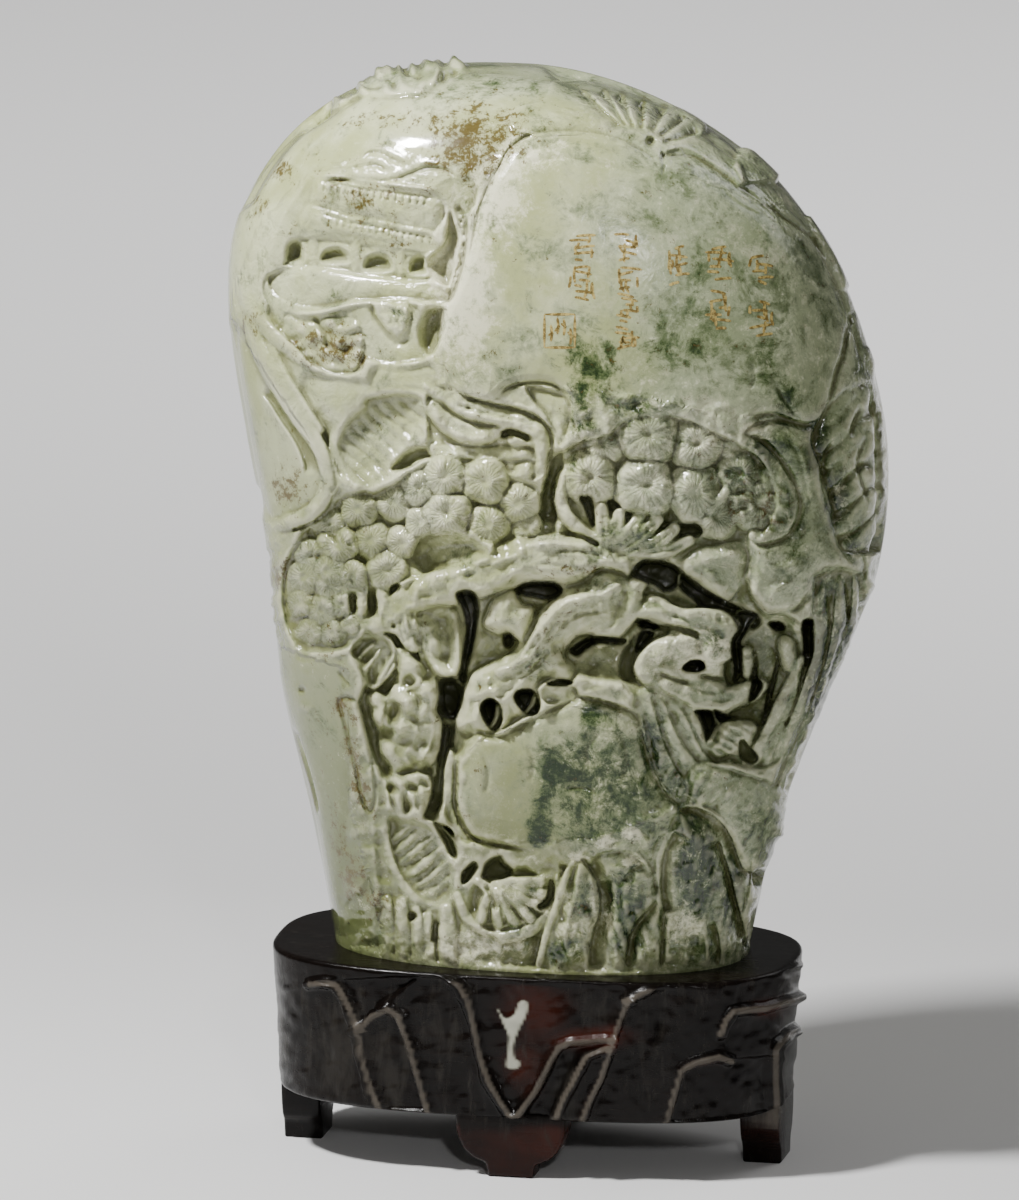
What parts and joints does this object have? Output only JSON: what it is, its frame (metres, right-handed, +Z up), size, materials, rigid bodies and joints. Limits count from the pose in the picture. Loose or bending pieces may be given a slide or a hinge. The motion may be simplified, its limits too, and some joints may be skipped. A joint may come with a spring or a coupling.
{
  "type": "carved jade boulder on a wooden stand",
  "caption": "Upright jade pebble carved in relief with pines, rocks and a small pavilion beside a smooth inscribed face, resting in the seat of a low dark hardwood stand on bracket feet.",
  "frame": {"origin": "on the table under the middle of the whole object's box", "axes": "+Z up, the inscribed face towards -Y, +X to the right of the person facing it"},
  "size_m": [0.1672, 0.0872, 0.2798],
  "materials": {
    "jade": "polished mottled green and white nephrite, smooth on the skin and duller in the carving",
    "hardwood": "very dark polished hardwood, carved as rock slabs"
  },
  "bodies": {
    "root": {"jade_boulder": "jade", "wood_stand": "hardwood"}
  },
  "joints": []
}
